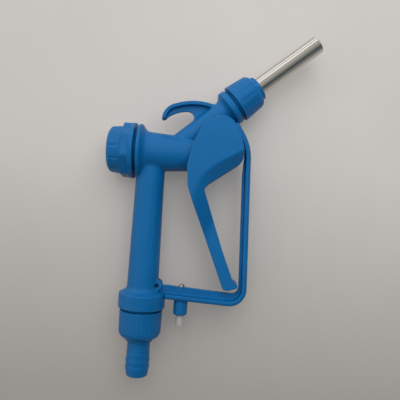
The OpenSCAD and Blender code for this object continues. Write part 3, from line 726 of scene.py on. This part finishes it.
def cap_relief(r, s, angle):
    """Eight flats beside the band, and twelve shallow flutes behind them."""
    band = -CAP_HIGH.x + CAP_BAND_LEN
    skin = step_up(r, 22.1, 23.0)
    turn = repeats(angle, 8, CAP_FLAT_TURN)
    flat_r = np.minimum(CAP_CORNER_R * math.cos(math.pi / 8) / np.cos(turn), CAP_HIGH.z - 0.4)
    flats = window(s, band - 1, band + CAP_FLAT_LEN, 0.5) * np.maximum(flat_r - r, 0)
    across = np.abs(repeats(angle, 12, CAP_FLUTE_TURN)) * r
    flute = window(across, -1, 1.5, 0.6) * window(s, band + CAP_FLAT_LEN + 1.5, -CAP_LOW.x - 1.5, 0.8)
    return skin * (flats - 0.5 * flute)


def make_cap():
    mouth, face = -CAP_HIGH.x, -CAP_LOW.x
    band = CAP_HIGH.z
    outline = [(0, face, 0), (21, face, 1.2), (24.1, face - 2.6, 0.9), (26.5, mouth + 5.4, 0.5),
               (band - 0.2, mouth + 4.8, 0.6), (band, mouth, 0.7), (21.9, mouth, 0.4),
               (21.9, -CUP_LOW.x, 0.3), (0, -CUP_LOW.x, 0)]
    profile = spaced(rounded(outline, closed=False), 0.9)
    cap = turned("rear_cap_skin", profile, (0, 0), (-1, 0), 320, cap_relief, closed=False)
    finish(cap, "root", "blue_plastic", "rear_cap")


def nut_profile(mouth_r, skirt_r, skirt, shoulder, neck_r, length, thread_r, thread_end, bore_r):
    dome = [(neck_r + (skirt_r - neck_r) * math.cos(a), skirt + (shoulder - skirt) * math.sin(a), 0)
            for a in np.linspace(0, math.pi / 2, 10)]
    corners = [(mouth_r, 0, 0.6)] + dome + [
        (neck_r, length, 1.1), (bore_r, length, 0.3), (bore_r, thread_end, 0), (thread_r, thread_end, 0),
        (thread_r, 0, 0.4)]
    return spaced(rounded(corners), 1.0, closed=True)


def ribs(count, half_width, depth, start, end, inner_r):
    """Relief of raised ribs: the surface between them is lowered by depth."""
    def relief(r, s, angle):
        rib = window(np.abs(repeats(angle, count)) * 20, -1, half_width, 0.35)
        return -depth * (1 - rib) * window(s, start, end, 1.0) * step_up(r, inner_r, inner_r + 1)
    return relief


def make_hose_nut():
    mouth, length = -NUT_HIGH.y, NUT_HIGH.y - NUT_LOW.y
    profile = nut_profile(mouth_r=NUT_HIGH.x, skirt_r=NUT_HIGH.x - 0.35, skirt=length - 11.5,
                          shoulder=length - 3.5, neck_r=14.2, length=length,
                          thread_r=19.2, thread_end=21.2, bore_r=12.2)
    relief = ribs(count=30, half_width=0.9, depth=0.26, start=4.5, end=length - 7.5, inner_r=16)
    nut = turned("hose_nut_skin", profile, (0, -mouth), (0, -1), 360, relief)
    finish(nut, "root", "blue_plastic", "hose_nut")


def make_tail():
    top, end = -TAIL_HIGH.y, -TAIL_LOW.y
    neck, bore, barb, head = 12.0, 9.0, 12.7, 18.6
    outline = [(head, top, 0.3), (head, top + 3.5, 0.3), (neck, top + 3.5, 0.5)]
    for station, loss in ((212.6, 0.35), (219.8, 0), (227, 0)):
        outline += [(neck, station, 0.25), (barb - loss, station + 0.3, 0.2),
                    (barb - loss, station + 2.2, 2), (neck, station + 6.6, 1)]
    outline += [(neck - 0.7, end, 1.4), (bore, end, 0.5), (bore, top, 0.2)]
    profile = spaced(rounded(outline), 1.5, closed=True)
    finish(turned("hose_tail_skin", profile, (0, 0), (0, -1), 128), "root", "blue_plastic", "hose_tail")


def tooth_gaps(r, s, angle):
    """Sixty gaps in the outer edge of the ring behind the spout nut."""
    return -0.7 * (np.abs(repeats(angle, 60)) > math.pi / 120) * (r > 17)


def make_spout():
    base = (OUTLET_X, 0)
    profile = nut_profile(mouth_r=SPOUT_NUT_R, skirt_r=18.8, skirt=20, shoulder=26.5, neck_r=13.3,
                          length=SPOUT_NUT_LEN, thread_r=16.4, thread_end=18.7, bore_r=SPOUT_R + 0.15)
    relief = ribs(count=14, half_width=2.7, depth=0.32, start=3.5, end=24.4, inner_r=13)
    nut_base = np.array(base) + SPOUT_NUT_S * ALONG
    nut = turned("spout_nut_skin", profile, nut_base, ALONG, 336, relief)
    finish(nut, "root", "blue_plastic", "spout_nut")
    bore_r = SPOUT_R - 1
    nut_end = SPOUT_NUT_S + SPOUT_NUT_LEN
    tube = [(SPOUT_FIT_R, SPOUT_SOCKET_S, 0.2), (SPOUT_FIT_R, nut_end, 0), (SPOUT_R, nut_end, 0),
            (SPOUT_R, SPOUT_TIP, 0.35), (bore_r, SPOUT_TIP, 0.3), (bore_r, SPOUT_SOCKET_S, 0.2)]
    tube = turned("spout_tube_skin", spaced(rounded(tube), 4, closed=True), base, ALONG, 192)
    finish(tube, "root", "stainless_tube", "spout_tube")
    ring = rounded([(17.6, 86.4, 0.1), (17.6, 88.0, 0.1), (16.4, 88.0, 0.1), (16.4, 86.4, 0.1)])
    finish(turned("spout_nut_teeth", ring, base, ALONG, 480, tooth_gaps), "root", "blue_plastic")


def make_latch():
    x = LATCH_X
    low, high = BUTTON_LOW.y, BUTTON_HIGH.y
    radius, pin_end = BUTTON_HIGH.z, high - 8
    button = [(0, low, 0), (radius - 0.2, low, 1.0), (radius, high, 0.3), (LATCH_PIN_R, high, 0),
              (LATCH_PIN_R, pin_end, 0), (0, pin_end, 0)]
    button = turned("latch_button_skin", rounded(button, closed=False), (x, 0), (0, 1), 96, closed=False)
    finish(button, "latch", "white_nylon", "latch_button")
    head_r, rim, rise = 3.25, 0.4, 2.7
    seat = span("latch_pin")[1].y - (rim + rise)
    pin = [(0, pin_end, 0), (LATCH_PIN_R, pin_end, 0.1), (LATCH_PIN_R, seat + 0.1, 0), (head_r, seat, 0.1)]
    dome = [(head_r * math.cos(a), seat + rim + rise * math.sin(a), 0)
            for a in np.linspace(0, math.pi / 2, 12)]
    pin = turned("latch_pin_skin", rounded(pin + dome, closed=False), (x, 0), (0, 1), 96, closed=False)
    finish(pin, "latch", "stainless_fittings", "latch_pin")


# ------------------------------------------------------------------ materials
def new_material(name, **sockets):
    material = bpy.data.materials.new(name)
    material.use_nodes = True
    shader = material.node_tree.nodes["Principled BSDF"]
    for socket, value in sockets.items():
        shader.inputs[socket.replace("_", " ")].default_value = value
    return material, material.node_tree, shader


def noise(tree, scale, detail=3.0, stretch=(1, 1, 1), turn=0.0):
    """Noise in the object's own space, stretched along an axis that is turned about the vertical."""
    place = tree.nodes.new("ShaderNodeTexCoord")
    mapping = tree.nodes.new("ShaderNodeMapping")
    mapping.vector_type = "TEXTURE"
    mapping.inputs["Scale"].default_value = stretch
    mapping.inputs["Rotation"].default_value = (0, 0, turn)
    texture = tree.nodes.new("ShaderNodeTexNoise")
    texture.inputs["Scale"].default_value = scale
    texture.inputs["Detail"].default_value = detail
    tree.links.new(place.outputs["Object"], mapping.inputs["Vector"])
    tree.links.new(mapping.outputs["Vector"], texture.inputs["Vector"])
    return texture.outputs["Fac"]


def spread(tree, source, low, high, start=0.3, end=0.7):
    """The source stretched from the range start..end to the range low..high."""
    node = tree.nodes.new("ShaderNodeMapRange")
    node.inputs["From Min"].default_value = start
    node.inputs["From Max"].default_value = end
    node.inputs["To Min"].default_value = low
    node.inputs["To Max"].default_value = high
    tree.links.new(source, node.inputs["Value"])
    return node.outputs["Result"]


def blend_colours(tree, share, first, second):
    node = tree.nodes.new("ShaderNodeMix")
    node.data_type = "RGBA"
    for socket, value in (("A", first), ("B", second)):
        target = [s for s in node.inputs if s.name == socket and s.type == "RGBA"][0]
        if isinstance(value, tuple):
            target.default_value = (*value, 1)
        else:
            tree.links.new(value, target)
    tree.links.new(share, node.inputs["Factor"])
    return [s for s in node.outputs if s.type == "RGBA"][0]


def bump(tree, shader, source, strength, distance):
    node = tree.nodes.new("ShaderNodeBump")
    node.inputs["Strength"].default_value = strength
    node.inputs["Distance"].default_value = distance
    tree.links.new(source, node.inputs["Height"])
    tree.links.new(node.outputs["Normal"], shader.inputs["Normal"])


def edges(tree, start, end):
    """1 on outer edges and 0 on flat faces."""
    geometry = tree.nodes.new("ShaderNodeNewGeometry")
    return spread(tree, geometry.outputs["Pointiness"], 0, 1, start, end)


def blue_plastic():
    """Satin moulded plastic: slight flow marks, a fine moulded grain and outer edges painted paler as a
    highlight.
    """
    material, tree, shader = new_material("blue_plastic_look", IOR=1.46, Specular_IOR_Level=0.27)
    flow = blend_colours(tree, spread(tree, noise(tree, 28), 0, 1), BLUE_DEEP, BLUE)
    # Painted highlight: a paler blue is laid on the sharp outer edges.
    edge_highlight = blend_colours(tree, edges(tree, 0.53, 0.62), flow, BLUE_EDGE_HIGHLIGHT)
    tree.links.new(edge_highlight, shader.inputs["Base Color"])
    tree.links.new(spread(tree, noise(tree, 160, 5), 0.33, 0.46), shader.inputs["Roughness"])
    bump(tree, shader, noise(tree, 1400, 2), 0.12, 0.0004)
    return material


def white_nylon():
    material, tree, shader = new_material("white_nylon_look", IOR=1.5, Specular_IOR_Level=0.25,
                                          Subsurface_Weight=0.35, Subsurface_Scale=0.003)
    tone = blend_colours(tree, spread(tree, noise(tree, 90), 0, 1), (0.38, 0.385, 0.36), (0.44, 0.445, 0.42))
    tree.links.new(tone, shader.inputs["Base Color"])
    tree.links.new(spread(tree, noise(tree, 220), 0.35, 0.5), shader.inputs["Roughness"])
    bump(tree, shader, noise(tree, 1500, 2), 0.1, 0.0003)
    return material


def seal_rubber():
    material, tree, shader = new_material("seal_rubber_look", IOR=1.5)
    tone = blend_colours(tree, spread(tree, noise(tree, 150), 0, 1),
                         (0.010, 0.010, 0.012), (0.03, 0.03, 0.032))
    tree.links.new(tone, shader.inputs["Base Color"])
    tree.links.new(spread(tree, noise(tree, 300), 0.6, 0.85), shader.inputs["Roughness"])
    bump(tree, shader, noise(tree, 2200, 4), 0.25, 0.0004)
    return material


def steel(name, colour, rough, grain):
    """Drawn steel: fine lines along the spout's axis, grain times as long as they are wide."""
    material, tree, shader = new_material(name, Metallic=1.0)
    lines = noise(tree, 900, 4, (grain, 1, 1), OUTLET_ANGLE)
    tone = blend_colours(tree, spread(tree, lines, 0, 1), tuple(0.8 * c for c in colour), colour)
    tree.links.new(tone, shader.inputs["Base Color"])
    tree.links.new(spread(tree, lines, rough * 0.75, rough * 1.4), shader.inputs["Roughness"])
    bump(tree, shader, lines, 0.06, 0.0002)
    return material


BLUE = (0.002, 0.120, 0.335)
BLUE_DEEP = (0.002, 0.106, 0.305)
# Paler blue that is painted on outer edges as a highlight.
BLUE_EDGE_HIGHLIGHT = (0.010, 0.190, 0.440)

LOOKS = {
    "blue_plastic": blue_plastic(),
    "white_nylon": white_nylon(),
    "seal_rubber": seal_rubber(),
    "stainless_tube": steel("stainless_tube_look", (0.68, 0.665, 0.63), 0.11, 60),
    "stainless_fittings": steel("stainless_fittings_look", (0.62, 0.62, 0.61), 0.26, 1),
}
# Painted shade: the guard pin is coloured near black so that it shows as the shaded hole in the ear it sits
# in.
PIN_PAINTED_SHADE = steel("pin_painted_shade_look", (0.05, 0.055, 0.07), 0.4, 1)


def finish(piece, body, slot, *nodes):
    """Gives a piece its material and its body, and hides the CAD nodes that it stands for."""
    piece.data.materials.clear()
    piece.data.materials.append(LOOKS[slot])
    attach(piece, body)
    if nodes:
        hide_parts(*nodes)


def dress_frame():
    """Every CAD node that still shows gets the material of its slot; the guard pin instead gets a near-black
    steel look, painted shade for the hole it sits in.
    """
    for part in frame["record"]["subparts"]:
        materials = frame["nodes"][part["node"]].data.materials
        look = LOOKS[part["material_slot"]]
        if not len(materials):
            materials.append(look)
        for i in range(len(materials)):
            materials[i] = look if part["node"] != "guard_pin" else PIN_PAINTED_SHADE


# ------------------------------------------------------------------ stage, light and camera
def make_floor():
    half = 1.6
    corners = [(-half, -half, 0), (half, -half, 0), (half, half, 0), (-half, half, 0)]
    mesh = new_mesh("table_top", corners, [(0, 1, 2, 3)])
    floor = bpy.data.objects.new("table_top", mesh)
    bpy.context.scene.collection.objects.link(floor)
    material, tree, shader = new_material("table_look", IOR=1.45, Specular_IOR_Level=0.3)
    place = tree.nodes.new("ShaderNodeTexCoord")
    split = tree.nodes.new("ShaderNodeSeparateXYZ")
    tree.links.new(place.outputs["Object"], split.inputs["Vector"])
    tone = blend_colours(tree, spread(tree, noise(tree, 7), 0, 1),
                         (0.405, 0.385, 0.372), (0.422, 0.402, 0.388))
    # Painted shade: the table's colour darkens towards the bottom of the picture, standing in for the light
    # falling off away from the lamps.
    tone = blend_colours(tree, spread(tree, split.outputs["Y"], 0, 1, -0.22, 0.05),
                         (0.272, 0.257, 0.243), tone)
    tree.links.new(tone, shader.inputs["Base Color"])
    # Painted light: the table glows with its own colour, which lifts the shadows on it.
    tree.links.new(tone, shader.inputs["Emission Color"])
    shader.inputs["Emission Strength"].default_value = 0.36
    tree.links.new(spread(tree, noise(tree, 60), 0.5, 0.62), shader.inputs["Roughness"])
    bump(tree, shader, noise(tree, 900, 2), 0.05, 0.0004)
    mesh.materials.append(material)


def area_light(name, place, target, size, power, colour):
    light = bpy.data.lights.new(name, "AREA")
    light.shape = "RECTANGLE"
    light.size, light.size_y = size
    light.energy = power
    light.color = colour
    item = bpy.data.objects.new(name, light)
    item.location = place
    item.rotation_euler = (Vector(target) - Vector(place)).to_track_quat("-Z", "Y").to_euler()
    bpy.context.scene.collection.objects.link(item)
    return item


def make_lights():
    """A soft lamp above, and two narrow panels across the spout that show as stripes on it."""
    lamp = area_light("lamp", (0.10, 0.40, 0.72), (0.0, 0.05, 0), (0.8, 0.8), 5.1, (0.98, 0.99, 1.0))
    lamp.visible_glossy = False
    area_light("panel_high", (-0.61, 0.73, 0.74), (0.0, 0.0, 0), (1.8, 0.26), 1.5, (0.98, 0.99, 1.0))
    area_light("panel_low", (-0.72, 0.86, 0.12), (0.0, 0.0, 0), (1.8, 0.34), 1.6, (1.0, 0.98, 0.90))


def make_world():
    """A dim room that is paler on the side where the windows are."""
    world = bpy.data.worlds.new("room")
    world.use_nodes = True
    bpy.context.scene.world = world
    tree = world.node_tree
    background = tree.nodes["Background"]
    place = tree.nodes.new("ShaderNodeTexCoord")
    split = tree.nodes.new("ShaderNodeVectorMath")
    split.operation = "DOT_PRODUCT"
    split.inputs[1].default_value = (ACROSS[0], ACROSS[1], 0.0)
    ramp = tree.nodes.new("ShaderNodeValToRGB")
    tree.links.new(place.outputs["Generated"], split.inputs[0])
    tree.links.new(spread(tree, split.outputs["Value"], 0, 1, -1, 1), ramp.inputs["Fac"])
    stops = [(0.0, (0.36, 0.34, 0.33)), (0.06, (0.24, 0.24, 0.24)), (0.13, (0.09, 0.11, 0.12)),
             (0.22, (0.09, 0.11, 0.12)), (0.34, (0.28, 0.29, 0.27)), (0.50, (0.44, 0.43, 0.38)),
             (0.68, (0.60, 0.58, 0.54)), (1.0, (0.70, 0.70, 0.68))]
    ramp.color_ramp.elements[0].position = stops[0][0]
    ramp.color_ramp.elements[0].color = (*stops[0][1], 1)
    ramp.color_ramp.elements[1].position = stops[-1][0]
    ramp.color_ramp.elements[1].color = (*stops[-1][1], 1)
    for position, colour in stops[1:-1]:
        ramp.color_ramp.elements.new(position).color = (*colour, 1)
    tree.links.new(ramp.outputs["Color"], background.inputs["Color"])
    background.inputs["Strength"].default_value = 1.0


def make_camera():
    """Straight above the nozzle, turned a few degrees about the vertical."""
    camera = bpy.data.cameras.new("camera")
    camera.sensor_width = 36
    camera.lens = 39.6
    camera.dof.use_dof = False
    camera.clip_start = 0.01
    item = bpy.data.objects.new("camera", camera)
    foot = CAMERA_FOOT / 1000 + ORIGIN
    item.location = (foot.x, foot.y, ORIGIN.z + CAMERA_HEIGHT)
    item.rotation_euler = (0, 0, CAMERA_TURN)
    bpy.context.scene.collection.objects.link(item)
    bpy.context.scene.camera = item


# ------------------------------------------------------------------ the scene
make_body()
make_lever()
make_guard()
make_cap()
make_hose_nut()
make_tail()
make_spout()
make_latch()
dress_frame()
make_floor()
make_lights()
make_world()
make_camera()
bpy.context.scene.view_settings.view_transform = "Standard"
